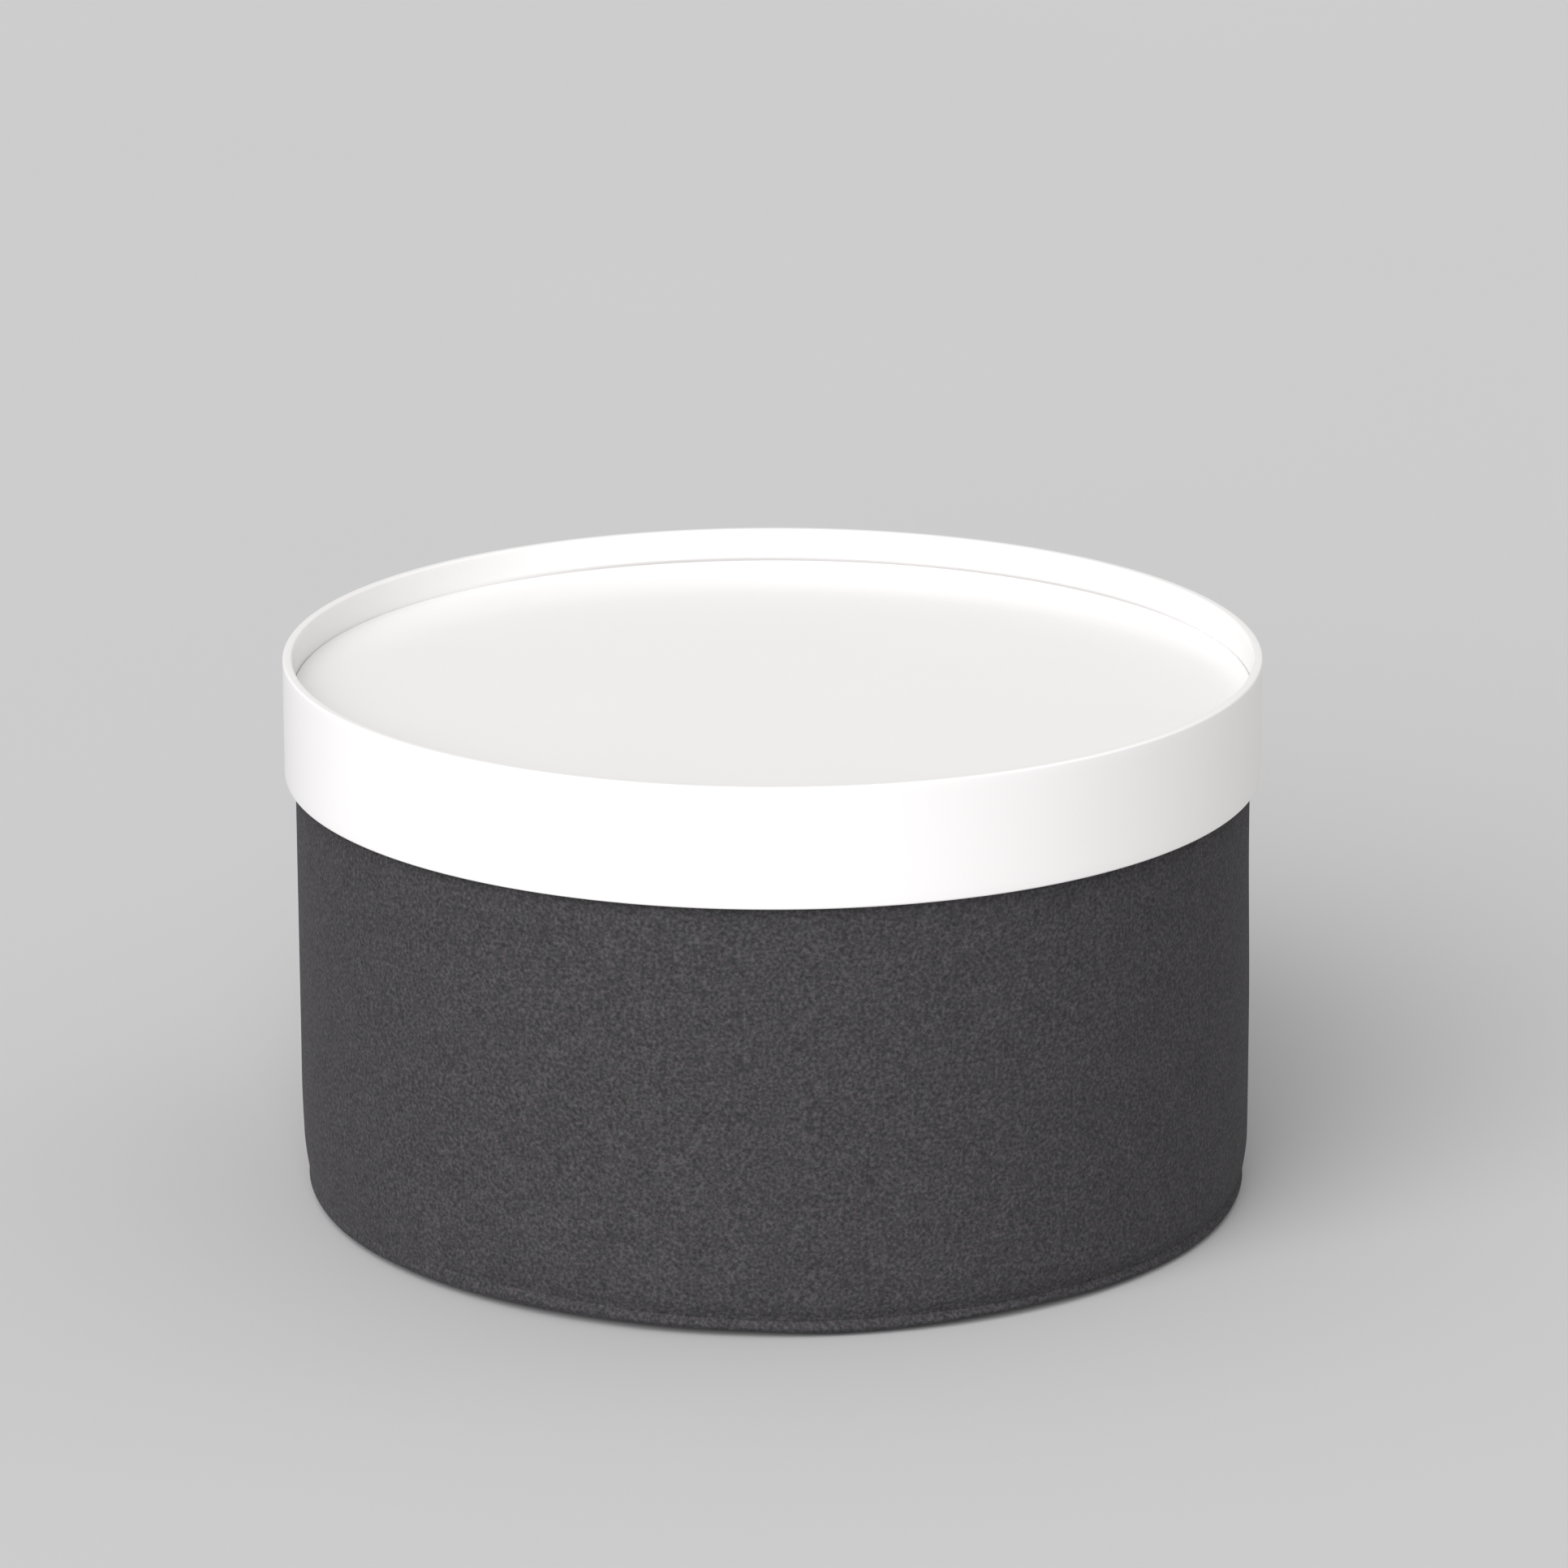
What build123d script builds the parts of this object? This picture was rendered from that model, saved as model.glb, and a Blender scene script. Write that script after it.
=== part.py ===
from build123d import *

import math
import os

# A round storage drum covered in wool felt, with a lift-off tray lid whose hoop comes down over the drum.
# Millimetres, +Z up. The origin is on the floor, at the centre of the drum.

# Overall
TRAY_DIAMETER = 600.0  # outside of the lid's hoop
OVERALL_HEIGHT = 340.0  # floor to the top of the hoop

# Lid
HOOP_HEIGHT = 73.5
HOOP_WALL = 6.0
HOOP_EDGE_ROUND = 1.4
TRAY_DEPTH = 20.5  # top of the hoop to the tray's floor
PANEL_THICKNESS = 9.0
PANEL_EDGE_BREAK = 0.8
BEARER_THICKNESS = 10.0
PAD_RADIUS = 5.0
PAD_HEIGHT = 2.0
PAD_DOME = 0.8
PAD_COUNT = 6

# Drum
FELT = 2.0
FOAM = 8.0
WALL = 5.0
BASE_BOARD = 15.0
TOP_HOOP_WALL = 6.0
TOP_HOOP_HEIGHT = 30.0
RIM_OUTER_ROUND = 9.0  # felt over the drum's top edge, outside
RIM_INNER_ROUND = 4.0
FOOT_ROUND = 4.0  # felt round the bottom edge
FOOT_DRAW_IN = 1.5  # how far the sewn seam pulls the felt in
FOOT_DRAW_HEIGHT = 32.0  # height over which it is pulled in
SEAM_HEIGHT = 9.0  # seam above the underside
FELT_END_ABOVE_HOOP = 4.0  # raw edge of the turned-in felt above the top hoop's lower edge
TAPE_WIDTH = 16.0
TAPE_THICKNESS = 1.0
LINING = 1.2
BASE_LINING = 2.0

# Glides
GLIDE_RADIUS = 12.0
GLIDE_HEIGHT = 3.0
GLIDE_INSET = 40.0  # glide centre in from the edge of the base board
GLIDE_ROUND = 0.8
GLIDE_COUNT = 6
GLIDE_HEAD_RECESS = 0.5

# Fasteners: (shank radius, head radius, length)
BASE_SCREW = (1.75, 3.4, 30.0)
BASE_SCREW_COUNT = 8
BEARER_SCREW = (1.5, 2.9, 16.0)
BEARER_SCREW_COUNT = 12
GLIDE_SCREW = (1.5, 2.9, 14.0)
SCREW_TIP = 2.0
SCREW_RECESS_LENGTH = 1.2  # of the head's radius
SCREW_RECESS_WIDTH = 0.8
SCREW_RECESS_DEPTH = 1.2
HEAD_SINK = 0.2  # screw heads below the face that they are driven into
HOLE_MOUTH = 1.0  # how far a hole's cutter stands out of that face
PIN_RADIUS = 0.8
PIN_HEAD_RADIUS = 1.2
PIN_HEAD_DEPTH = 0.8
PIN_INTO_HOOP = 3.0
PIN_COUNT = 12
STAPLE_CROWN = 10.0
STAPLE_LEG = 7.0
STAPLE_WIRE = 0.6
STAPLE_PITCH = 42.0

# Fits
SKIRT_CLEARANCE = 0.6  # felt to the inside of the lid's hoop
GLUE_LINE = 0.1
SCREW_CLEARANCE = 0.05
LID_REST = 0.3  # pads to the felt that they settle on
CROWN_BEDDING = 0.1  # how far the staple's flat crown stands off the round face at its middle
MEETING = 0.000001  # ends of two arcs this near to each other need no line between them

# Lid, from the top down
hoop_outer = TRAY_DIAMETER / 2
hoop_inner = hoop_outer - HOOP_WALL
hoop_top = OVERALL_HEIGHT
hoop_bottom = hoop_top - HOOP_HEIGHT
panel_radius = hoop_inner - GLUE_LINE
panel_top = hoop_top - TRAY_DEPTH
panel_bottom = panel_top - PANEL_THICKNESS
bearer_top = panel_bottom - GLUE_LINE
bearer_bottom = bearer_top - BEARER_THICKNESS
pad_top = bearer_bottom - GLUE_LINE
pad_bottom = pad_top - PAD_HEIGHT

# Drum, from the outside in
felt_outer = hoop_inner - SKIRT_CLEARANCE
felt_inner = felt_outer - FELT
foam_outer = felt_inner - GLUE_LINE
foam_inner = foam_outer - FOAM
wall_outer = foam_inner - GLUE_LINE
wall_inner = wall_outer - WALL
inside_radius = wall_inner - GLUE_LINE
top_hoop_inner = inside_radius - TOP_HOOP_WALL
fold_outer = top_hoop_inner - GLUE_LINE
fold_inner = fold_outer - FELT
staple_inner = fold_inner - CROWN_BEDDING - STAPLE_WIRE
tape_outer = staple_inner - GLUE_LINE
tape_inner = tape_outer - TAPE_THICKNESS
bearer_outer = hoop_inner - GLUE_LINE
bearer_inner = fold_inner
lining_inner = inside_radius - LINING

# Drum, from the floor up
felt_bottom = GLIDE_HEIGHT
seam_z = felt_bottom + SEAM_HEIGHT
frame_bottom = felt_bottom + FELT + GLUE_LINE
board_top = frame_bottom + BASE_BOARD
base_lining_bottom = board_top + GLUE_LINE
base_lining_top = base_lining_bottom + BASE_LINING
rim_top = pad_bottom - LID_REST
frame_top = rim_top - FELT - GLUE_LINE
top_hoop_bottom = frame_top - TOP_HOOP_HEIGHT
fold_end = top_hoop_bottom + FELT_END_ABOVE_HOOP
tape_bottom = top_hoop_bottom
staple_z = tape_bottom + TAPE_WIDTH / 2
draw_top = felt_bottom + FOOT_DRAW_HEIGHT
foot_outer = felt_outer - FOOT_DRAW_IN
foot_round = min(FOOT_ROUND, SEAM_HEIGHT, foot_outer - foam_inner)
rim_outer_round = min(RIM_OUTER_ROUND, felt_outer - foam_inner)
rim_flat_middle = (fold_inner + RIM_INNER_ROUND + felt_outer - rim_outer_round) / 2
board_middle = (frame_bottom + board_top) / 2
bearer_middle = (bearer_bottom + bearer_top) / 2
glide_circle = inside_radius - GLIDE_INSET


def turn(*edges):
    """A solid of revolution about Z from the lines and arcs that bound its half section."""
    profile = make_face(Plane.XZ * Curve(list(edges)))
    return revolve(profile, Axis.Z, 360)


def outline(points):
    """The closed run of straight lines through (radius, height) points."""
    return [Line(a, b) for a, b in zip(points, points[1:] + points[:1])]


def band(inner, outer, bottom, top):
    """A plain ring of square section."""
    return turn(*outline([(inner, bottom), (outer, bottom), (outer, top), (inner, top)]))


def disc(radius, bottom, top):
    return Pos(0, 0, bottom) * Cylinder(radius, top - bottom, align=(Align.CENTER, Align.CENTER, Align.MIN))


def around(count, piece, start=0.0):
    """Copies of a piece, evenly spaced about the drum's axis."""
    return [Rot(0, 0, start + i * 360 / count) * piece for i in range(count)]


def cut(piece, tools):
    for tool in tools:
        piece = piece - tool
    return piece


def screw(size, grow=0.0, above=0.0):
    """A countersunk screw whose head lies at the origin, facing +Z. Grown, it is the hole that the screw
    goes in, and above lengthens the head's mouth."""
    shank, head, length = size
    shank_r = shank + grow
    head_r = head + grow
    points = [(0, above), (head_r, above)]
    if above > 0:
        points.append((head_r, 0))
    points += [(shank_r, shank_r - head_r), (shank_r, SCREW_TIP - length - grow), (0, -length - grow)]
    body = turn(*outline(points))
    if grow > 0:
        return body
    slot = Box(SCREW_RECESS_LENGTH * head, SCREW_RECESS_WIDTH, 2 * SCREW_RECESS_DEPTH)
    return body - slot - Rot(0, 0, 90) * slot


def screws_and_holes(size, count, place):
    """The screws of one ring and the tools that cut their holes."""
    made = around(count, place * screw(size))
    holes = around(count, place * screw(size, SCREW_CLEARANCE, HOLE_MOUTH))
    return made, holes


def side_x(z, inset):
    """Radius of the felt's outer face at a height, less an inset."""
    if z >= draw_top:
        return felt_outer - inset
    rise = (z - felt_bottom - foot_round) / (FOOT_DRAW_HEIGHT - foot_round)
    return foot_outer + FOOT_DRAW_IN * rise - inset


def foot_arc(inset):
    """The quarter circle of the felt's bottom edge, from the underside up to the side."""
    return CenterArc((foot_outer - foot_round, felt_bottom + foot_round), foot_round - inset, -90, 90)


def rim_outer_arc(inset):
    return CenterArc((felt_outer - rim_outer_round, rim_top - rim_outer_round), rim_outer_round - inset, 0, 90)


def rim_inner_arc(inset):
    return CenterArc((fold_inner + RIM_INNER_ROUND, rim_top - RIM_INNER_ROUND), RIM_INNER_ROUND - inset, 90, 90)


def joined(*stops):
    """Straight lines between points and the ends of arcs, in order, closed at the end."""
    edges = []
    ends = []
    for stop in stops:
        if isinstance(stop, tuple):
            ends.append((stop, stop))
        else:
            edges.append(stop[0])
            start, finish = stop[0] @ 0, stop[0] @ 1
            ends.append((finish, start) if stop[1] else (start, finish))
    for (_, here), (there, _) in zip(ends, ends[1:] + ends[:1]):
        if (Vector(there) - Vector(here)).length > MEETING:
            edges.append(Line(here, there))
    return edges


def forward(arc):
    return [arc, False]


def backward(arc):
    return [arc, True]


# The lid

bearer_screw_place = Pos((bearer_inner + bearer_outer) / 2, 0, bearer_bottom + HEAD_SINK) * Rot(180, 0, 0)
bearer_screws, bearer_screw_holes = screws_and_holes(BEARER_SCREW, BEARER_SCREW_COUNT, bearer_screw_place)
pin_start = 180 / PIN_COUNT
pin_length = bearer_outer - bearer_inner + GLUE_LINE + PIN_INTO_HOOP


def bearer_pin(grow=0.0):
    """A headed pin driven outwards through the bearer ring into the hoop."""
    shank_r = PIN_RADIUS + grow
    head_r = PIN_HEAD_RADIUS + grow
    top = HOLE_MOUTH if grow > 0 else 0
    points = [(0, top), (head_r, top), (head_r, -PIN_HEAD_DEPTH - grow), (shank_r, -PIN_HEAD_DEPTH - grow)]
    points += [(shank_r, PIN_RADIUS - pin_length - grow), (0, -pin_length - grow)]
    place = Pos(bearer_inner + HEAD_SINK, 0, bearer_middle) * Rot(0, -90, 0)
    return place * turn(*outline(points))


def tray_hoop():
    """The bent-wood hoop: the tray's raised edge above and the lid's skirt below."""
    ring = band(hoop_inner, hoop_outer, hoop_bottom, hoop_top)
    ring = fillet(ring.edges().filter_by(GeomType.CIRCLE), HOOP_EDGE_ROUND)
    return cut(ring, around(PIN_COUNT, bearer_pin(SCREW_CLEARANCE), pin_start))


def tray_panel():
    panel = disc(panel_radius, panel_bottom, panel_top)
    panel = chamfer(panel.edges().group_by(Axis.Z)[-1], PANEL_EDGE_BREAK)
    return cut(panel, bearer_screw_holes)


def bearer_ring():
    """The ring under the tray's panel: it carries the panel and rests on the drum's rim."""
    ring = band(bearer_inner, bearer_outer, bearer_bottom, bearer_top)
    return cut(ring, bearer_screw_holes + around(PIN_COUNT, bearer_pin(SCREW_CLEARANCE), pin_start))


def bearer_pins():
    return around(PIN_COUNT, bearer_pin(), pin_start)


def lid_pads():
    """Domed bumpers stuck under the bearer ring, midway between a screw and a pin."""
    pad = disc(PAD_RADIUS, pad_bottom, pad_top)
    pad = fillet(pad.edges().group_by(Axis.Z)[0], PAD_DOME)
    between = 90 / BEARER_SCREW_COUNT
    return around(PAD_COUNT, Pos(rim_flat_middle, 0, 0) * pad, between)


# The drum's frame

base_screw_place = Pos(wall_outer - HEAD_SINK, 0, board_middle) * Rot(0, 90, 0)
base_screws, base_screw_holes = screws_and_holes(BASE_SCREW, BASE_SCREW_COUNT, base_screw_place)
glide_screw_place = Pos(glide_circle, 0, GLIDE_HEAD_RECESS) * Rot(180, 0, 0)
glide_screws, glide_screw_holes = screws_and_holes(GLIDE_SCREW, GLIDE_COUNT, glide_screw_place)


def wall_shell():
    return cut(band(wall_inner, wall_outer, frame_bottom, frame_top), base_screw_holes)


def top_hoop():
    """The stiffening hoop inside the wall's top, which the felt is folded over and stapled to."""
    edges = joined(
        (top_hoop_inner, top_hoop_bottom),
        (inside_radius, top_hoop_bottom),
        (inside_radius, frame_top),
        forward(rim_inner_arc(FELT + GLUE_LINE)),
    )
    return turn(*edges)


def base_board():
    return cut(disc(inside_radius, frame_bottom, board_top), base_screw_holes + glide_screw_holes)


def foam_wrap():
    """The foam round the wall. The felt rounds it off at the top and the bottom."""
    inset = FELT + GLUE_LINE
    edges = joined(
        (foam_inner, frame_bottom),
        forward(foot_arc(inset)),
        (side_x(draw_top, inset), draw_top),
        forward(rim_outer_arc(inset)),
        (foam_inner, frame_top),
    )
    return turn(*edges)


# The cover

def felt_sleeve():
    """The felt round the side, over the rim and down inside it."""
    edges = joined(
        (side_x(seam_z, 0), seam_z),
        (side_x(draw_top, 0), draw_top),
        forward(rim_outer_arc(0)),
        forward(rim_inner_arc(0)),
        (fold_inner, fold_end),
        (fold_outer, fold_end),
        backward(rim_inner_arc(FELT)),
        backward(rim_outer_arc(FELT)),
        (side_x(draw_top, FELT), draw_top),
        (side_x(seam_z, FELT), seam_z),
    )
    return turn(*edges)


def felt_base_panel():
    """The felt under the drum, turned up round the bottom edge to the seam."""
    edges = joined(
        (0, felt_bottom),
        forward(foot_arc(0)),
        (side_x(seam_z, 0), seam_z),
        (side_x(seam_z, FELT), seam_z),
        backward(foot_arc(FELT)),
        (0, felt_bottom + FELT),
    )
    return cut(turn(*edges), glide_screw_holes)


def cover_staples():
    """Wide-crown staples that hold the turned-in felt to the top hoop."""
    crown_face = fold_inner - CROWN_BEDDING
    crown = Pos(crown_face - STAPLE_WIRE / 2, 0, staple_z) * Box(STAPLE_WIRE, STAPLE_CROWN, STAPLE_WIRE)
    leg_out = (STAPLE_CROWN - STAPLE_WIRE) / 2
    leg = Pos(crown_face - STAPLE_WIRE, 0, staple_z) * Box(
        STAPLE_WIRE + STAPLE_LEG, STAPLE_WIRE, STAPLE_WIRE, align=(Align.MIN, Align.CENTER, Align.CENTER)
    )
    staple = crown + Pos(0, leg_out, 0) * leg + Pos(0, -leg_out, 0) * leg
    return around(round(2 * math.pi * fold_inner / STAPLE_PITCH), staple)


def rim_tape():
    return band(tape_inner, tape_outer, tape_bottom, tape_bottom + TAPE_WIDTH)


# The lining

def lining_wall():
    return band(lining_inner, inside_radius, base_lining_top + GLUE_LINE, top_hoop_bottom - GLUE_LINE)


def lining_base():
    return disc(inside_radius, base_lining_bottom, base_lining_top)


# The feet

def glides():
    glide = disc(GLIDE_RADIUS, 0, GLIDE_HEIGHT)
    glide = fillet(glide.edges().group_by(Axis.Z)[0], GLIDE_ROUND)
    placed = around(GLIDE_COUNT, Pos(glide_circle, 0, 0) * glide)
    return [one - hole for one, hole in zip(placed, glide_screw_holes)]


PIECES = {
    "tray_hoop": tray_hoop,
    "tray_panel": tray_panel,
    "bearer_ring": bearer_ring,
    "bearer_screws": lambda: bearer_screws,
    "bearer_pins": bearer_pins,
    "lid_pads": lid_pads,
    "wall_shell": wall_shell,
    "top_hoop": top_hoop,
    "base_board": base_board,
    "base_screws": lambda: base_screws,
    "foam_wrap": foam_wrap,
    "felt_sleeve": felt_sleeve,
    "felt_base_panel": felt_base_panel,
    "cover_staples": cover_staples,
    "rim_tape": rim_tape,
    "lining_wall": lining_wall,
    "lining_base": lining_base,
    "glides": glides,
    "glide_screws": lambda: glide_screws,
}

os.makedirs("parts", exist_ok=True)
for name, make in PIECES.items():
    made = make()
    shape = Compound(children=made) if isinstance(made, list) else made
    export_step(shape, f"parts/{name}.step")
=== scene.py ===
import math

import bmesh
import bpy
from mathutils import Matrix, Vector, noise


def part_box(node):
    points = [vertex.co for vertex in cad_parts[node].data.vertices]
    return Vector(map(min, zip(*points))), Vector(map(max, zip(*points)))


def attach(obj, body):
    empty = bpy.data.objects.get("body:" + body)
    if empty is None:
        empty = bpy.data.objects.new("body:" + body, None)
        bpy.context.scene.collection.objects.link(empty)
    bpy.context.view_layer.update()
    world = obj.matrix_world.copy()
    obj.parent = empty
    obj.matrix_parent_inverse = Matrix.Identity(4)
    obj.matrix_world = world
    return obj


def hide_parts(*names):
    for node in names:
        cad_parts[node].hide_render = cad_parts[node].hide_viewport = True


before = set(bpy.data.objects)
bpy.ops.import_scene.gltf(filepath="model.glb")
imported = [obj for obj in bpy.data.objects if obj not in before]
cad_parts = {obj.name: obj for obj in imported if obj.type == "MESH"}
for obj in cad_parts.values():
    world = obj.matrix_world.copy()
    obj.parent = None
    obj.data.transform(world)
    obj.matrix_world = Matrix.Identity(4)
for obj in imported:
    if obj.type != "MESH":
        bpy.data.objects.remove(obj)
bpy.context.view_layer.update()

# A round storage drum in charcoal wool felt, with a lift-off tray lid in white lacquer.
# Metres, +Z up, the origin on the floor under the middle of the drum. The front faces -Y.

MM = 0.001

# Sizes that the frame gives
hoop_low, hoop_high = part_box("tray_hoop")
panel_low, panel_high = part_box("tray_panel")
sleeve_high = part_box("felt_sleeve")[1]
base_low, base_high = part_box("felt_base_panel")
foam_low, foam_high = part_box("foam_wrap")
wall_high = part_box("wall_shell")[1]
top_hoop_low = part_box("top_hoop")[0]
tape_low, tape_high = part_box("rim_tape")
lining_low, lining_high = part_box("lining_wall")
base_lining_low, base_lining_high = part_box("lining_base")

# Sizes that belong to the making
GLUE_LINE = 0.1 * MM  # between pieces that are glued together
HOOP_ROUND = 1.4 * MM  # sanded edges of the hoop
PANEL_ROUND = 0.8 * MM  # broken edge of the tray's floor
PANEL_GROOVE = 0.12 * MM  # width of the fine groove left between the tray's floor and the hoop
PANEL_GROOVE_DEPTH = 1.2 * MM
HOOP_WAVE = 0.05 * MM  # how far the bent wood wanders from a true circle
PANEL_WAVE = 0.05 * MM  # how far the tray's floor wanders from flat
FELT = 2.0 * MM
RIM_OUTER = 9.0 * MM  # felt over the drum's top edge
RIM_INNER = 4.0 * MM
FOLD_RADIUS = 270.0 * MM  # inner face of the felt turned down inside the drum
FOOT_ROUND = 4.5 * MM  # felt round the bottom edge
FOOT_DRAW_IN = 2.5 * MM  # how far the bottom seam pulls the side in
FOOT_DRAW_TOP = 35.0 * MM  # height under which it is pulled in
SEAM_DEPTH = 1.9 * MM  # how deep the sewn seam sinks between the sleeve and the base panel
SEAM_REACH_UP = 8.0 * MM  # height over which the felt rolls into the seam from above
SEAM_REACH_DOWN = 5.0 * MM
SEAM_PUFF = 0.6 * MM  # how far the rolled band under the seam stands out
SIDE_BULGE = 2.2 * MM  # how far the soft side bulges at the right
SIDE_DRAWN = 2.0 * MM  # how far it is drawn in at the lower left
SIDE_WANDER = 0.3 * MM
SKIRT_SHELTER = 245.0 * MM  # height above which the skirt holds the felt true
SOFT_TOP = 110.0 * MM  # up to this height the side bulges fully and follows the uneven bottom edge
SETTLE_FROM, SETTLE_FULL = 0.969, 0.985  # shares of the felt's radius between which the cover starts to move
BACK_SEAM_GATHER = math.radians(8.6)  # how far round each side the rows are drawn to the back seam
BACK_SEAM_DEPTH = 1.5 * MM
BACK_SEAM_ROLL = 0.5 * MM  # how far the felt rolls up beside it
CLOTH = 0.9 * MM  # thickness of the tape and the lining
CLOTH_RADIUS = 275.0 * MM  # about where they hang
CLOTH_RIPPLE = 0.12 * MM  # how far they wander from the wall
LINING_LAP = 0.5 * MM  # step where the wall lining's ends lap
DISC_WAVE = 0.15 * MM  # how far the base lining wanders from flat
TURNS = 384  # steps round the lid and the cover
INNER_TURNS = 240  # steps round the pieces inside
ROUNDING = 6  # steps of a small rounded edge

# Camera: in front of the drum, looking down on the tray
LENS = 160.2
SENSOR = 36.0
CAMERA_AT = Vector((0.0, -4.1248, hoop_high.z + 1.1346))
CAMERA_LOOKS_AT = Vector((0.00685, 0.0, hoop_high.z - 0.0865))

# Colours
LACQUER_SHADE, LACQUER_WHITE = (0.900, 0.893, 0.887), (0.912, 0.906, 0.901)
# Grey of the painted shade in the corner between the tray's floor and the hoop
PAINTED_SHADE_GREY = (0.61, 0.60, 0.595)
FELT_DARK, FELT_MIDDLE, FELT_LIGHT = (0.029, 0.0295, 0.031), (0.054, 0.053, 0.055), (0.099, 0.095, 0.100)
LINING_DARK, LINING_LIGHT = (0.055, 0.055, 0.058), (0.115, 0.113, 0.116)
TAPE_DARK, TAPE_LIGHT = (0.018, 0.018, 0.02), (0.05, 0.049, 0.053)


# Meshes

def arc(centre, radius, start, end, count):
    """Points of (radius, height) on an arc, from one angle to another in degrees."""
    points = []
    for i in range(count + 1):
        angle = math.radians(start + (end - start) * i / count)
        points.append((centre[0] + radius * math.cos(angle), centre[1] + radius * math.sin(angle)))
    return points


def line(start, end, count):
    """Points of (radius, height) between two points, without the ends."""
    return [
        tuple(a + (b - a) * i / count for a, b in zip(start, end))
        for i in range(1, count)
    ]


def turned(outline, steps, closed):
    """A mesh spun about the drum's axis from its half outline of (radius, height) points."""
    mesh = bmesh.new()
    corners = [mesh.verts.new((r, 0, z)) for r, z in outline]
    ends = corners[1:] + corners[:1] if closed else corners[1:]
    edges = [mesh.edges.new(pair) for pair in zip(corners, ends)]
    bmesh.ops.spin(
        mesh, geom=corners + edges, cent=(0, 0, 0), axis=(0, 0, 1), angle=2 * math.pi, steps=steps,
        use_merge=True,
    )
    bmesh.ops.remove_doubles(mesh, verts=mesh.verts, dist=0.00001)
    bmesh.ops.recalc_face_normals(mesh, faces=mesh.faces)
    return mesh


def piece(name, mesh, material, body, stands_for=()):
    """A finished mesh as an object that rides on a body of the frame."""
    data = bpy.data.meshes.new(name)
    mesh.to_mesh(data)
    mesh.free()
    data.shade_smooth()
    data.materials.append(material)
    made = bpy.data.objects.new(name, data)
    bpy.context.scene.collection.objects.link(made)
    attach(made, body)
    if stands_for:
        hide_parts(*stands_for)
    return made


def thickened(made, thickness):
    """Gives a sheet its thickness, inwards from its outer face."""
    solid = made.modifiers.new("thickness", "SOLIDIFY")
    solid.thickness = thickness
    solid.offset = -1
    solid.use_even_offset = True
    return made


def smooth_step(value, low, high):
    share = min(1.0, max(0.0, (value - low) / (high - low)))
    return share * share * (3 - 2 * share)


def wander(azimuth, waves, place):
    """A smooth value from about -1 to 1 that wanders round the drum, in about that many waves."""
    slow = math.sin(round(waves * 0.6) * azimuth + 1.3 + 2.1 * place)
    middle = math.sin(waves * azimuth + 4.2 - 3.4 * place)
    quick = math.sin(round(waves * 1.7) * azimuth + 0.7 + 5.3 * place)
    return 0.5 * slow + 0.35 * middle + 0.2 * quick


# Materials

def material(name):
    """A new material, its nodes and a function that adds a node with its inputs set or linked."""
    made = bpy.data.materials.new(name)
    made.use_nodes = True
    tree = made.node_tree
    tree.nodes.clear()

    def add(kind, inputs=None, **settings):
        node = tree.nodes.new(kind)
        for key, value in settings.items():
            setattr(node, key, value)
        for key, value in (inputs or {}).items():
            if isinstance(value, bpy.types.NodeSocket):
                tree.links.new(value, node.inputs[key])
            else:
                node.inputs[key].default_value = value
        return node

    return made, add


def object_coordinates(add, scale=(1, 1, 1)):
    place = add("ShaderNodeTexCoord").outputs["Object"]
    return add("ShaderNodeMapping", {"Vector": place, "Scale": scale}).outputs["Vector"]


def cloud(add, place, scale, detail=2.0, roughness=0.5):
    """Noise from 0 to 1 about that many waves to the metre."""
    return add("ShaderNodeTexNoise", {
        "Vector": place, "Scale": scale, "Detail": detail, "Roughness": roughness,
    }).outputs["Fac"]


def ramp(add, value, *stops):
    """A colour ramp from (place, colour) stops."""
    node = add("ShaderNodeValToRGB", {"Fac": value})
    band = node.color_ramp
    while len(band.elements) < len(stops):
        band.elements.new(0.5)
    for element, (place, colour) in zip(band.elements, stops):
        element.position = place
        element.color = (*colour, 1)
    return node.outputs["Color"]


def blended(add, share, first, second, mode="MIX"):
    """Two colours mixed by a share."""
    node = add("ShaderNodeMix", data_type="RGBA", blend_type=mode)
    tree = node.id_data
    for socket, value in ((node.inputs[0], share), (node.inputs[6], first), (node.inputs[7], second)):
        if isinstance(value, bpy.types.NodeSocket):
            tree.links.new(value, socket)
        else:
            socket.default_value = value if isinstance(value, float) else (*value, 1)
    return node.outputs[2]


def scaled(add, value, low, high):
    """A value from 0 to 1 brought to a range."""
    return add("ShaderNodeMapRange", {"Value": value, "To Min": low, "To Max": high}).outputs["Result"]


def stepped(add, value, low, high):
    """A value that rises smoothly from 0 at the low end to 1 at the high end."""
    return add("ShaderNodeMapRange", {"Value": value, "From Min": low, "From Max": high},
               interpolation_type="SMOOTHSTEP").outputs["Result"]


def computed(add, operation, first, second=0.0):
    """A sum, product or function of one or two values."""
    return add("ShaderNodeMath", {0: first, 1: second}, operation=operation).outputs[0]


def bumped(add, height, distance, strength=1.0, under=None):
    inputs = {"Height": height, "Distance": distance, "Strength": strength}
    if under is not None:
        inputs["Normal"] = under
    return add("ShaderNodeBump", inputs).outputs["Normal"]


def surfaced(add, **inputs):
    """The shader and the material's output."""
    shader = add("ShaderNodeBsdfPrincipled", {key.replace("_", " "): value for key, value in inputs.items()})
    add("ShaderNodeOutputMaterial", {"Surface": shader.outputs["BSDF"]})


def radius_of(add, parts):
    """The distance from the drum's axis."""
    squares = [computed(add, "MULTIPLY", parts[axis], parts[axis]) for axis in "XY"]
    return computed(add, "SQRT", computed(add, "ADD", *squares))


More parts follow.
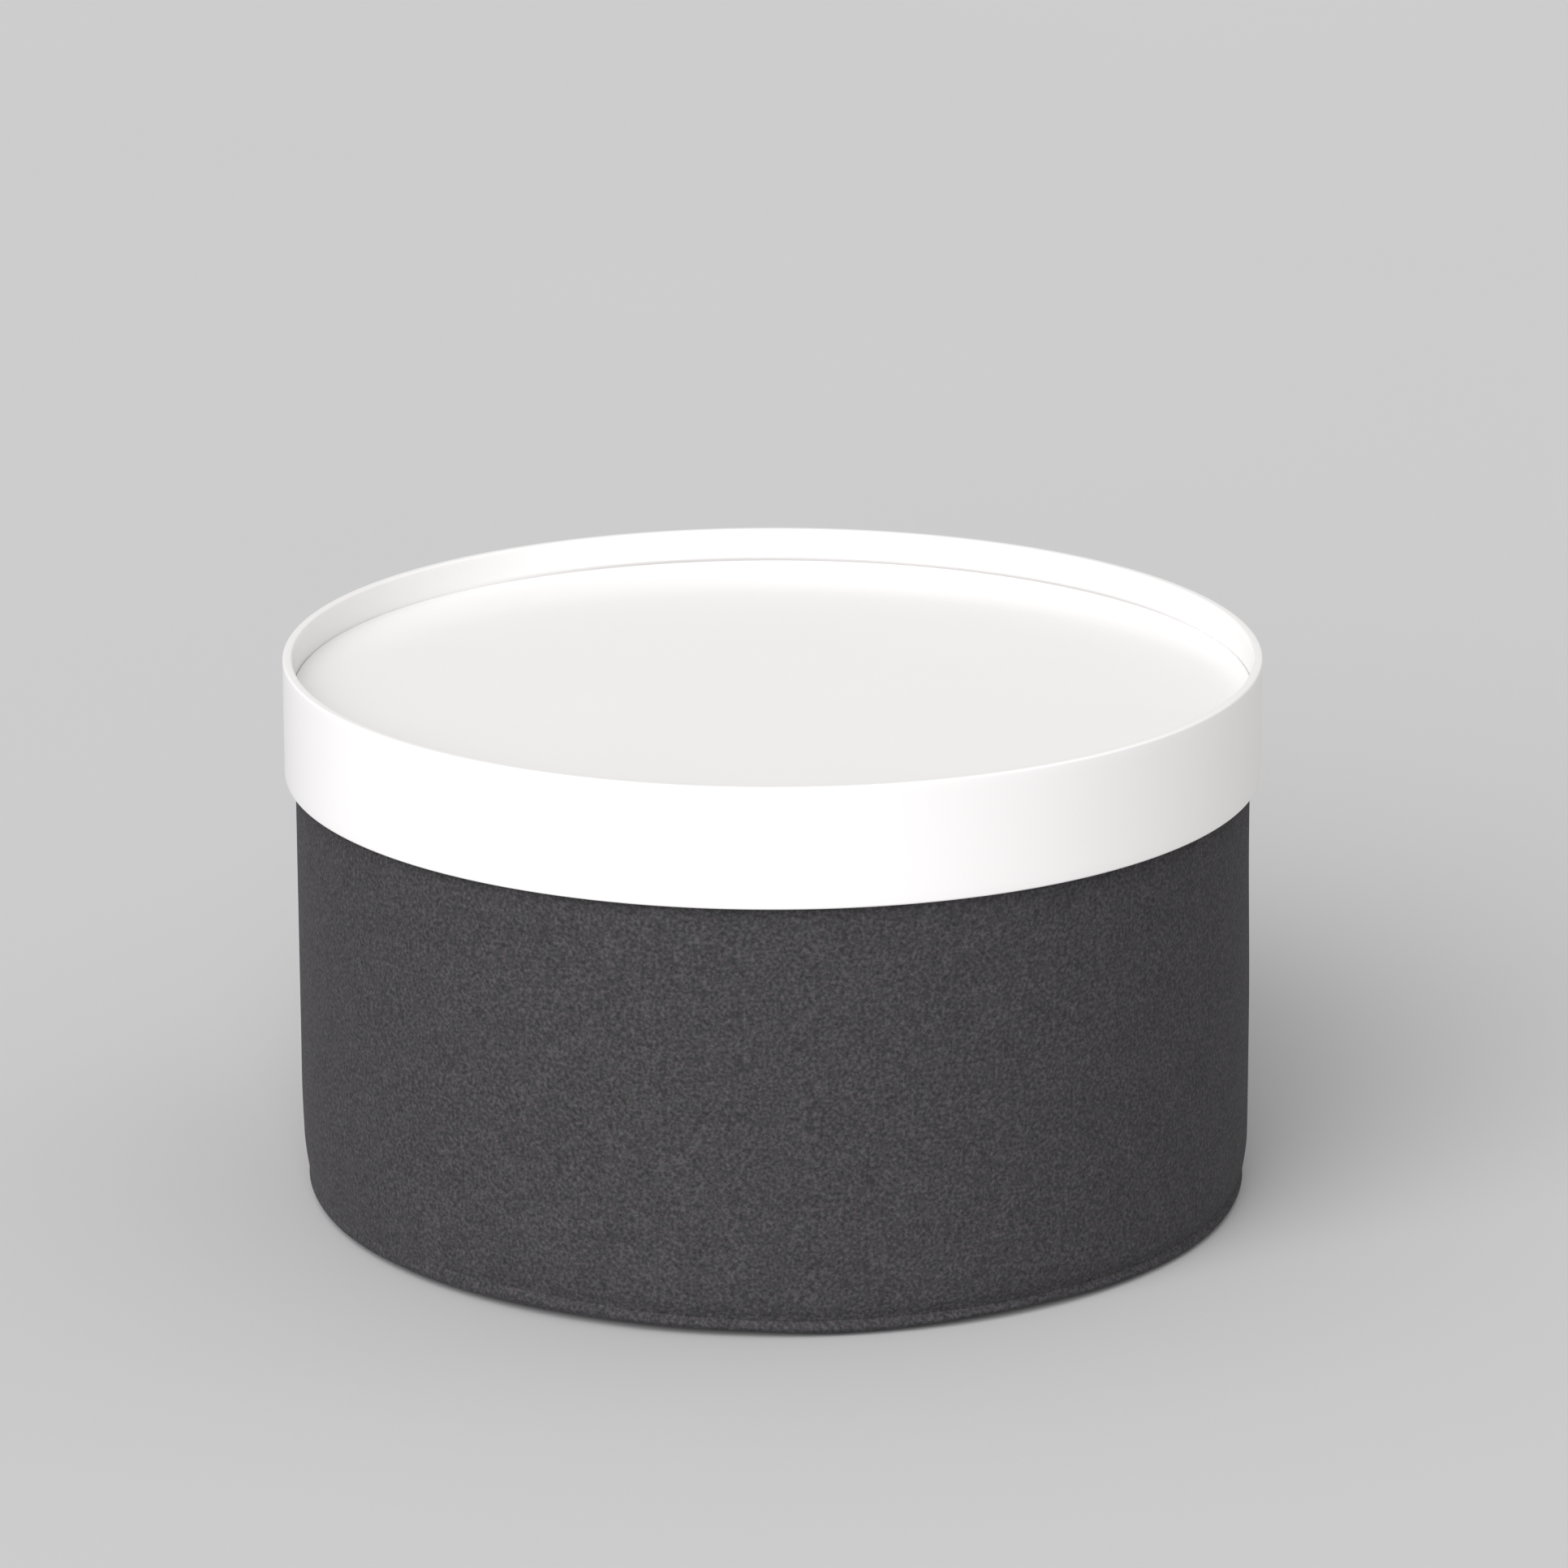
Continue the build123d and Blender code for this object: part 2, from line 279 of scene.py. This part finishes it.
def round_coordinates(add, along, across, up):
    """Coordinates that run round the drum, with the azimuth, radius and height each to its own scale, and
    the bare radius and height."""
    place = add("ShaderNodeTexCoord").outputs["Object"]
    parts = add("ShaderNodeSeparateXYZ", {"Vector": place}).outputs
    azimuth = computed(add, "ARCTAN2", parts["Y"], parts["X"])
    radius = radius_of(add, parts)
    joined = add("ShaderNodeCombineXYZ", {
        "X": computed(add, "MULTIPLY", azimuth, along),
        "Y": computed(add, "MULTIPLY", radius, across),
        "Z": computed(add, "MULTIPLY", parts["Z"], up),
    })
    return joined.outputs["Vector"], radius, parts["Z"]


def painted_joint_shade(add, place):
    """Where a thin line of painted shade lies between the tray's floor and the hoop: at the back, along the
    joint.
    """
    parts = add("ShaderNodeSeparateXYZ", {"Vector": place}).outputs
    radius, height = radius_of(add, parts), parts["Z"]
    joint_radius, joint_height = panel_high.x, panel_high.z
    # It fades out up the hoop's wall, down the groove and to each side of the joint
    higher = stepped(add, height, joint_height + 0.8 * MM, joint_height + 2.8 * MM)
    above = computed(add, "SUBTRACT", 1.0, higher)
    below = stepped(add, height, joint_height - 4 * MM, joint_height - 3 * MM)
    edge = stepped(add, radius, joint_radius - 1.7 * MM, joint_radius - 0.5 * MM)
    farther = stepped(add, radius, joint_radius + 1 * MM, joint_radius + 2.5 * MM)
    inner = computed(add, "SUBTRACT", 1.0, farther)
    back = math.radians(75)  # the middle of the stretch where it shows
    towards = computed(
        add, "ADD",
        computed(add, "MULTIPLY", parts["X"], math.cos(back)),
        computed(add, "MULTIPLY", parts["Y"], math.sin(back)),
    )
    facing = stepped(add, computed(add, "DIVIDE", towards, radius), 0.5, 0.95)
    heights = computed(add, "MULTIPLY", above, below)
    radii = computed(add, "MULTIPLY", edge, inner)
    return computed(add, "MULTIPLY", computed(add, "MULTIPLY", heights, radii), facing)


def white_lacquer():
    """Sprayed satin lacquer: an even white with a slight orange peel. At the back of the tray a thin grey
    line of painted shade is laid along the joint between the floor and the hoop."""
    made, add = material("white_lacquer")
    place = object_coordinates(add)
    white = ramp(add, cloud(add, place, 9, 3), (0.3, LACQUER_SHADE), (0.7, LACQUER_WHITE))
    # Painted shade: a thin grey line along the floor-hoop joint at the back of the tray
    colour = blended(add, painted_joint_shade(add, place), white, PAINTED_SHADE_GREY)
    peel = cloud(add, place, 420, 2)
    swell = cloud(add, place, 26, 1)
    normal = bumped(add, peel, 0.00003, 0.35, bumped(add, swell, 0.0003, 0.25))
    gloss = scaled(add, cloud(add, place, 60, 4), 0.27, 0.34)
    surfaced(
        add, Base_Color=colour, Roughness=gloss, IOR=1.47, Coat_Weight=0.25, Coat_Roughness=0.12,
        Normal=normal,
    )
    return made


def wool_felt():
    """Melange felt: charcoal fibres with lighter and darker ones clumped together, and a fine nap."""
    made, add = material("wool_felt")
    place = object_coordinates(add)
    clumps = cloud(add, place, 470, 2, 0.6)
    patches = cloud(add, place, 60, 2)
    fibres = cloud(add, object_coordinates(add, (1, 1, 2.2)), 1500, 2)
    greys = ramp(add, clumps, (0.28, FELT_DARK), (0.5, FELT_MIDDLE), (0.74, FELT_LIGHT))
    hue = ramp(add, cloud(add, place, 330, 2), (0.36, (0.965, 1.0, 0.975)), (0.64, (1.03, 0.97, 1.035)))
    melange = blended(add, 1.0, greys, hue, "MULTIPLY")
    shade = ramp(add, patches, (0.25, (0.93, 0.93, 0.93)), (0.75, (1.06, 1.06, 1.06)))
    colour = blended(add, 1.0, melange, shade, "MULTIPLY")
    rough_nap = bumped(add, clumps, 0.0008, 0.5)
    normal = bumped(add, fibres, 0.0003, 0.5, rough_nap)
    surfaced(
        add, Base_Color=colour, Roughness=0.95, Specular_IOR_Level=0.1, Normal=normal,
        Sheen_Weight=0.05, Sheen_Roughness=0.4, Sheen_Tint=(0.8, 0.78, 0.83, 1),
    )
    return made


def open_foam():
    """Cream foam with open cells."""
    made, add = material("open_foam")
    place = object_coordinates(add)
    cells = add("ShaderNodeTexVoronoi", {"Vector": place, "Scale": 700.0}, feature="F1").outputs["Distance"]
    colour = ramp(add, cells, (0.1, (0.80, 0.78, 0.70)), (0.7, (0.62, 0.59, 0.50)))
    surfaced(add, Base_Color=colour, Roughness=0.9, Normal=bumped(add, cells, 0.0006, 0.6))
    return made


def birch(name, bent):
    """Bare birch plywood, bent or cut flat: grain that runs round the ring, and glue lines in its edge."""
    made, add = material(name)
    place, radius, height = round_coordinates(add, 6.0, 260.0, 260.0)
    grain = cloud(add, place, 1.0, 4, 0.62)
    streaks = cloud(add, place, 0.28, 2)
    colour = blended(add, streaks, (0.56, 0.40, 0.25), (0.72, 0.56, 0.38))
    fine = ramp(add, grain, (0.3, (0.86, 0.84, 0.80)), (0.7, (1.05, 1.04, 1.03)))
    colour = blended(add, 1.0, colour, fine, "MULTIPLY")
    through = add("ShaderNodeCombineXYZ", {"X": radius if bent else height}).outputs["Vector"]
    plies = add(
        "ShaderNodeTexWave", {"Vector": through, "Scale": 220.0, "Distortion": 0.3, "Detail": 1.0},
        bands_direction="X", wave_type="BANDS",
    ).outputs["Fac"]
    glue = ramp(add, plies, (0.0, (0.70, 0.62, 0.52)), (0.3, (1.0, 1.0, 1.0)))
    colour = blended(add, 0.5, colour, blended(add, 1.0, colour, glue, "MULTIPLY"))
    normal = bumped(add, grain, 0.0002, 0.3)
    surfaced(add, Base_Color=colour, Roughness=scaled(add, grain, 0.5, 0.68), Normal=normal)
    return made


def zinc_steel():
    """Zinc-plated steel with a spangled, slightly uneven gloss."""
    made, add = material("zinc_steel")
    place = object_coordinates(add)
    spots = cloud(add, place, 900, 3)
    colour = ramp(add, spots, (0.3, (0.56, 0.57, 0.58)), (0.7, (0.72, 0.72, 0.71)))
    surfaced(
        add, Base_Color=colour, Metallic=1.0, Roughness=scaled(add, spots, 0.26, 0.42),
        Normal=bumped(add, spots, 0.0001, 0.3),
    )
    return made


def clear_silicone():
    """Hazy clear silicone."""
    made, add = material("clear_silicone")
    haze = cloud(add, object_coordinates(add), 500, 2)
    colour = ramp(add, haze, (0.3, (0.78, 0.79, 0.78)), (0.7, (0.86, 0.86, 0.85)))
    surfaced(
        add, Base_Color=colour, Roughness=scaled(add, haze, 0.22, 0.32), Transmission_Weight=0.35, IOR=1.41,
        Normal=bumped(add, haze, 0.0001, 0.2),
    )
    return made


def black_plastic():
    """Moulded black plastic with a fine grain."""
    made, add = material("black_plastic")
    grain = cloud(add, object_coordinates(add), 1600, 2)
    colour = ramp(add, grain, (0.3, (0.018, 0.018, 0.019)), (0.7, (0.03, 0.03, 0.031)))
    surfaced(
        add, Base_Color=colour, Roughness=scaled(add, grain, 0.42, 0.58),
        Normal=bumped(add, grain, 0.0001, 0.35),
    )
    return made


def woven(name, dark, light, threads, upright):
    """Plain woven cloth, so many threads to the metre each way, hung upright round the drum or laid flat."""
    made, add = material(name)
    place = round_coordinates(add, CLOTH_RADIUS, 0.0, 1.0)[0] if upright else object_coordinates(add)
    split = add("ShaderNodeSeparateXYZ", {"Vector": place}).outputs

    def ribs(part):
        return computed(add, "SINE", computed(add, "MULTIPLY", part, threads * math.pi))

    warp, weft = ribs(split["X"]), ribs(split["Z"] if upright else split["Y"])
    weave = scaled(add, computed(add, "MULTIPLY", warp, weft), 0.5, 1.0)
    slubs = cloud(add, place, 90, 3)
    uneven = ramp(add, slubs, (0.3, (0.82, 0.82, 0.82)), (0.7, (1.12, 1.12, 1.12)))
    colour = blended(add, 1.0, blended(add, weave, dark, light), uneven, "MULTIPLY")
    surfaced(
        add, Base_Color=colour, Roughness=0.88, Specular_IOR_Level=0.2, Sheen_Weight=0.15,
        Sheen_Roughness=0.5, Normal=bumped(add, weave, 0.00025, 0.8),
    )
    return made


def floor_paint():
    """Flat pale grey studio paint."""
    made, add = material("floor_paint")
    tone = cloud(add, object_coordinates(add), 0.7, 2)
    colour = ramp(add, tone, (0.3, (0.577, 0.581, 0.586)), (0.7, (0.583, 0.587, 0.592)))
    surfaced(add, Base_Color=colour, Roughness=1.0, Specular_IOR_Level=0.0)
    return made


lacquer = white_lacquer()
felt = wool_felt()


# The lid

def tray_hoop():
    """Bent hoop with sanded edges: the tray's raised edge above, the skirt over the drum below."""
    outer, inner = hoop_high.x, panel_high.x + GLUE_LINE
    top, bottom, edge = hoop_high.z, hoop_low.z, HOOP_ROUND
    rows = 12
    outline = arc((outer - edge, bottom + edge), edge, -90, 0, ROUNDING)
    outline += line((outer, bottom + edge), (outer, top - edge), rows)
    outline += arc((outer - edge, top - edge), edge, 0, 90, ROUNDING)
    outline += arc((inner + edge, top - edge), edge, 90, 180, ROUNDING)
    outline += line((inner, top - edge), (inner, bottom + edge), rows)
    outline += arc((inner + edge, bottom + edge), edge, 180, 270, ROUNDING)
    mesh = turned(outline, TURNS, True)
    for vert in mesh.verts:
        azimuth = math.atan2(vert.co.y, vert.co.x)
        share = smooth_step(vert.co.xy.length, inner, outer)
        vert.co.xy *= 1 - share * HOOP_WAVE * (1 + wander(azimuth, 5, vert.co.z * 9)) / outer
    return piece("tray_hoop_lacquered", mesh, lacquer, "lid", ["tray_hoop"])


def tray_floor():
    """The tray's round floor, its top edge broken so that a fine groove shows along the hoop."""
    edge, radius, top, bottom = PANEL_ROUND, panel_high.x, panel_high.z, panel_low.z
    groove = radius - PANEL_GROOVE
    top_rings, under_rings = 40, 6
    outline = [(0, top)] + line((0, top), (groove - edge, top), top_rings)
    outline += arc((groove - edge, top - edge), edge, 90, 0, 5)
    outline += [(groove, top - PANEL_GROOVE_DEPTH), (radius, top - PANEL_GROOVE_DEPTH), (radius, bottom)]
    outline += line((radius, bottom), (0, bottom), under_rings) + [(0, bottom)]
    mesh = turned(outline, TURNS, False)
    for vert in mesh.verts:
        if vert.co.z > top - edge / 2:
            inside = 1 - smooth_step(vert.co.xy.length, radius - 12 * MM, radius - 4 * MM)
            vert.co.z -= PANEL_WAVE * inside * (1 + noise.noise(vert.co * 12) * 1.5)
    return piece("tray_floor_lacquered", mesh, lacquer, "lid", ["tray_panel"])


# The cover

seam_z = base_high.z
underside = base_low.z
felt_radius = sleeve_high.x
sleeve_fold_end = top_hoop_low.z + 4.0 * MM

# How the sewn cover really lies, as (azimuth in degrees, value) stops round the drum.
# The bottom edge, in millimetres up:
EDGE_LIFT = [
    (-180, 0.6), (-155, -0.4), (-138, 0.6), (-115, 2.6), (-95, 0.9), (-82, -1.3), (-58, 0.9),
    (-43, -1.0), (-30, -2.0), (0, -0.8), (60, 0.5), (120, -0.5), (180, 0.6),
]
# The seam, in millimetres up:
SEAM_RISE = [
    (-180, 1.0), (-150, 2.5), (-120, 3.6), (-100, 0.5), (-86, -1.5), (-60, -1.8), (-37, -2.6),
    (0, -1.5), (60, 0.0), (120, 0.8), (180, 1.0),
]
# How much of its depth the seam has there:
SEAM_SHARE = [
    (-180, 0.15), (-150, 0.12), (-135, 0.3), (-118, 0.65), (-100, 0.9), (-60, 1.0), (-20, 0.9),
    (90, 1.0), (150, 0.6), (180, 0.15),
]


def eased(azimuth, stops):
    """The value at an azimuth, easing from stop to stop."""
    turn = math.degrees(azimuth)
    for (start, first), (end, last) in zip(stops, stops[1:]):
        if start <= turn <= end:
            return first + (last - first) * smooth_step(turn, start, end)
    return stops[0][1]


def stand_out(azimuth, height):
    """How far the soft side stands out from a true drum, bulged at the right and drawn in at the left."""
    below_skirt = 1 - smooth_step(height, SOFT_TOP, SKIRT_SHELTER)
    rightward = math.cos(azimuth)
    fullness = 0.6 + 0.4 * smooth_step(height, 0, 40 * MM)
    bulge = SIDE_BULGE * smooth_step(rightward, -0.1, 1.0) * below_skirt * fullness
    drawn = SIDE_DRAWN * smooth_step(-rightward, 0.3, 1.0) * (1 - smooth_step(height, 4 * MM, 75 * MM))
    soft = SIDE_WANDER * wander(azimuth, 7, height * 9) * below_skirt
    return bulge - drawn + soft


def seam_groove(azimuth, height):
    """How far the felt sinks into the seam, and puffs out between the seam and the bottom edge."""
    away = height - seam_z
    reach = SEAM_REACH_UP if away > 0 else SEAM_REACH_DOWN
    near = max(0.0, 1 - abs(away) / reach)
    pucker = 1 + 0.4 * wander(azimuth, 90, 1.7)
    sunk = SEAM_DEPTH * near * near * (3 - 2 * near) * pucker
    across = min(1.0, max(0.0, (seam_z - height) / (seam_z - underside)))
    band = math.sin(math.pi * across)
    return eased(azimuth, SEAM_SHARE) * (SEAM_PUFF * band - sunk)


def settle(mesh):
    """Gives the soft cover its real, slightly uneven shape. Only what lies below the skirt moves."""
    for vert in mesh.verts:
        radius, height = vert.co.xy.length, vert.co.z
        if height > SKIRT_SHELTER:
            continue
        outside = smooth_step(radius, SETTLE_FROM * felt_radius, SETTLE_FULL * felt_radius)
        if outside == 0:
            continue
        azimuth = math.atan2(vert.co.y, vert.co.x)
        outward = Vector((math.cos(azimuth), math.sin(azimuth), 0))
        seam_share = min(1.0, max(0.0, (height - underside) / (seam_z - underside)))
        lift = eased(azimuth, EDGE_LIFT) * (1 - seam_share) + eased(azimuth, SEAM_RISE) * seam_share
        fade = 1 - smooth_step(height, seam_z, SOFT_TOP)
        vert.co += outward * (stand_out(azimuth, height) + seam_groove(azimuth, height)) * outside
        vert.co.z += MM * lift * outside * fade
    return mesh


def side_radius(height):
    """The felt's outer radius, pulled in towards the bottom seam."""
    return felt_radius - FOOT_DRAW_IN * (1 - smooth_step(height, underside, FOOT_DRAW_TOP))


def felt_sleeve():
    """The cover's side: up from the bottom seam, over the rim and down inside the drum."""
    rim = sleeve_high.z
    side_top = rim - RIM_OUTER
    near_seam, rows = 6, 62
    above_seam = seam_z + SEAM_REACH_UP
    heights = [seam_z + SEAM_REACH_UP * (i / near_seam) ** 1.5 for i in range(near_seam)]
    heights += [above_seam + (side_top - above_seam) * i / rows for i in range(rows)]
    outline = [(side_radius(height), height) for height in heights]
    outline += arc((felt_radius - RIM_OUTER, side_top), RIM_OUTER, 0, 90, 9)
    outline += arc((FOLD_RADIUS + RIM_INNER, rim - RIM_INNER), RIM_INNER, 90, 180, ROUNDING)
    outline += line((FOLD_RADIUS, rim - RIM_INNER), (FOLD_RADIUS, sleeve_fold_end), 6)
    outline += [(FOLD_RADIUS, sleeve_fold_end)]
    mesh = turned(outline, TURNS, False)
    outward_faces(mesh)
    settle(mesh)
    close_seam(mesh)
    made = piece("felt_sleeve_cover", mesh, felt, "drum", ["felt_sleeve"])
    return thickened(made, FELT)


def outward_faces(mesh):
    """Turns an open sheet's faces so that its outer side points away from the drum's axis."""
    face = max(mesh.faces, key=lambda f: f.calc_center_median().xy.length)
    centre = face.calc_center_median()
    if face.normal.xy.dot(centre.xy) < 0:
        bmesh.ops.reverse_faces(mesh, faces=mesh.faces)


def close_seam(mesh):
    """The sleeve's own upright seam at the back: a narrow sewn groove, the felt rolled up on each side."""
    for vert in mesh.verts:
        radius = vert.co.xy.length
        turn = math.atan2(vert.co.x, vert.co.y)
        if abs(turn) < BACK_SEAM_GATHER:
            turn = math.copysign(BACK_SEAM_GATHER * (abs(turn) / BACK_SEAM_GATHER) ** 1.8, turn)
        away = abs(turn) * radius
        groove = BACK_SEAM_DEPTH * (1 - smooth_step(away, 0.3 * MM, 3.2 * MM))
        beside = smooth_step(away, 1 * MM, 5 * MM) * (1 - smooth_step(away, 6 * MM, 16 * MM))
        below_rim = 1 - smooth_step(vert.co.z, 240 * MM, 262 * MM)
        outside = smooth_step(radius, 0.975 * felt_radius, 0.992 * felt_radius)
        radius += (BACK_SEAM_ROLL * beside * below_rim - groove) * outside
        vert.co.x, vert.co.y = radius * math.sin(turn), radius * math.cos(turn)


def felt_base():
    """The felt under the drum, turned up round the bottom edge as a soft rolled band to the seam."""
    side = side_radius(seam_z)
    centre = (side - FOOT_ROUND, underside + FOOT_ROUND)
    outline = [(0, underside)] + line((0, underside), (centre[0], underside), 28)
    outline += arc(centre, FOOT_ROUND, -90, 0, 9)
    rest = seam_z - centre[1]
    outline += [(side, seam_z - rest * (1 - i / 6) ** 1.5) for i in range(1, 7)]
    mesh = turned(outline, TURNS, False)
    outward_faces(mesh)
    settle(mesh)
    made = piece("felt_base_cover", mesh, felt, "drum", ["felt_base_panel"])
    return thickened(made, FELT)


# The inside

def foam():
    """Foam glued round the wall, its ends butted together at the back."""
    outer, inner = foam_high.x, wall_high.x + GLUE_LINE
    low, high = foam_low.z, foam_high.z
    corner = 6 * MM
    butt_depth = 1.5 * MM
    outline = [(inner, low), (outer - FOOT_DRAW_IN - 2 * MM, low)]
    heights = [low + 3 * MM, seam_z, seam_z + 3 * MM, seam_z + 7 * MM, FOOT_DRAW_TOP]
    outline += [(side_radius(height) - FELT - GLUE_LINE, height) for height in heights]
    outline += line((outer, FOOT_DRAW_TOP), (outer, high - corner), 18)
    outline += arc((outer - corner, high - corner), corner, 0, 90, 5)
    outline += [(inner, high)]
    mesh = settle(turned(outline, INNER_TURNS, True))
    for vert in mesh.verts:
        radius = vert.co.xy.length
        if vert.co.y > 0 and radius > inner + 1 * MM:
            butt = 1 - smooth_step(abs(vert.co.x), 0, 5 * MM)
            vert.co.xy *= 1 - butt_depth * butt / radius
    made = piece("foam_layer", mesh, open_foam(), "drum", ["foam_wrap"])
    return made


def inner_tape():
    """Woven tape stuck over the felt's raw edge and the staples."""
    outer, inner = tape_high.x, tape_high.x - CLOTH
    low, high = tape_low.z, tape_high.z
    edge = 0.35 * MM
    rows = 6
    outline = [(outer - edge, low), (outer, low + edge)]
    outline += line((outer, low + edge), (outer, high - edge), rows)
    outline += [(outer, high - edge), (outer - edge, high), (inner, high - edge)]
    outline += line((inner, high - edge), (inner, low + edge), rows)
    outline += [(inner, low + edge)]
    mesh = turned(outline, INNER_TURNS, True)
    for vert in mesh.verts:
        azimuth = math.atan2(vert.co.y, vert.co.x)
        vert.co.xy *= 1 - CLOTH_RIPPLE * (1 + wander(azimuth, 26, vert.co.z * 60)) / outer
    cloth = woven("tape_weave", TAPE_DARK, TAPE_LIGHT, 900, True)
    made = piece("rim_tape_woven", mesh, cloth, "drum", ["rim_tape"])
    return made


def wall_lining():
    """Lining cloth glued to the wall, its ends lapped at the back."""
    outer, inner = lining_high.x, lining_high.x - CLOTH
    low, high = lining_low.z, lining_high.z
    outline = [(inner, low)] + line((inner, low), (inner, high), 30)
    outline += [(inner, high), (outer, high)]
    outline += line((outer, high), (outer, low), 6) + [(outer, low)]
    mesh = turned(outline, INNER_TURNS, True)
    for vert in mesh.verts:
        radius = vert.co.xy.length
        if radius < outer - CLOTH / 2:
            azimuth = math.atan2(vert.co.y, vert.co.x)
            ripple = CLOTH_RIPPLE * (1 + wander(azimuth, 16, vert.co.z * 14))
            from_lap = abs(vert.co.x - 8 * MM)
            lap = LINING_LAP * (1 - smooth_step(from_lap, 7 * MM, 9 * MM)) if vert.co.y > 0 else 0
            vert.co.xy *= 1 - (ripple + lap) / radius
    cloth = woven("lining_weave", LINING_DARK, LINING_LIGHT, 700, True)
    made = piece("wall_lining_cloth", mesh, cloth, "drum", ["lining_wall"])
    return made


def base_lining():
    """A disc of card covered in the lining cloth, with a soft edge."""
    radius, low, high = base_lining_high.x, base_lining_low.z, base_lining_high.z
    edge = (high - low) / 2
    outline = [(0, high)] + line((0, high), (radius - edge, high), 40)
    outline += arc((radius - edge, low + edge), edge, 90, -90, ROUNDING)
    outline += line((radius - edge, low), (0, low), 6) + [(0, low)]
    mesh = turned(outline, INNER_TURNS, False)
    for vert in mesh.verts:
        if vert.co.z > low + edge * 1.5:
            vert.co.z -= DISC_WAVE * (1 + noise.noise(vert.co * 14) * 1.4)
    cloth = woven("lining_weave_flat", LINING_DARK, LINING_LIGHT, 700, False)
    made = piece("base_lining_cloth", mesh, cloth, "drum", ["lining_base"])
    return made


def dress(nodes, finish):
    """Gives frame nodes their finish."""
    for name in nodes:
        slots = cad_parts[name].data.materials
        slots.clear()
        slots.append(finish)


# The object

tray_hoop()
tray_floor()
sleeve = felt_sleeve()
base = felt_base()
foam()
inner_tape()
wall_lining()
base_lining()
dress(["bearer_ring", "base_board"], birch("birch_flat", False))
dress(["wall_shell", "top_hoop"], birch("birch_bent", True))
dress(["bearer_screws", "bearer_pins", "base_screws", "cover_staples", "glide_screws"], zinc_steel())
dress(["lid_pads"], clear_silicone())
dress(["glides"], black_plastic())


# The studio

def studio_floor():
    """A wide round floor under the drum."""
    mesh = bmesh.new()
    bmesh.ops.create_circle(mesh, cap_ends=True, cap_tris=False, segments=96, radius=9.0)
    data = bpy.data.meshes.new("studio_floor")
    mesh.to_mesh(data)
    mesh.free()
    data.materials.append(floor_paint())
    made = bpy.data.objects.new("studio_floor", data)
    bpy.context.scene.collection.objects.link(made)


def aimed(made, place, target):
    """Puts a lamp or the camera in its place, pointed at a target."""
    made.location = place
    made.rotation_euler = (Vector(target) - Vector(place)).to_track_quat("-Z", "Y").to_euler()
    bpy.context.scene.collection.objects.link(made)
    return made


def sun(name, azimuth, elevation, strength, spread, colour):
    """Even light from one direction, as soft as its spread in degrees."""
    lamp = bpy.data.lights.new(name, "SUN")
    lamp.energy = strength
    lamp.angle = math.radians(spread)
    lamp.color = colour
    turn, lift = math.radians(azimuth), math.radians(elevation)
    level = math.cos(lift)
    place = Vector((math.cos(turn) * level, math.sin(turn) * level, math.sin(lift))) * 5
    return aimed(bpy.data.objects.new(name, lamp), place, (0, 0, 0))


def camera():
    """The camera at its place, looking a little down on the tray."""
    lens = bpy.data.cameras.new("camera")
    lens.lens = LENS
    lens.sensor_width = SENSOR
    lens.clip_end = 50
    made = aimed(bpy.data.objects.new("camera", lens), CAMERA_AT, CAMERA_LOOKS_AT)
    bpy.context.scene.camera = made


def surroundings(strength, colour):
    """Even light from all round."""
    world = bpy.data.worlds.new("studio")
    bpy.context.scene.world = world
    world.use_nodes = True
    background = world.node_tree.nodes["Background"].inputs
    background["Color"].default_value = (*colour, 1)
    background["Strength"].default_value = strength


studio_floor()
camera()
surroundings(strength=0.54, colour=(1.0, 0.988, 0.972))
sun("key", azimuth=-114, elevation=34.5, strength=2.76, spread=60, colour=(1.0, 0.99, 1.005))
sun("fill", azimuth=20, elevation=30, strength=0.12, spread=30, colour=(1.0, 0.96, 0.92))
bpy.context.scene.view_settings.view_transform = "Standard"
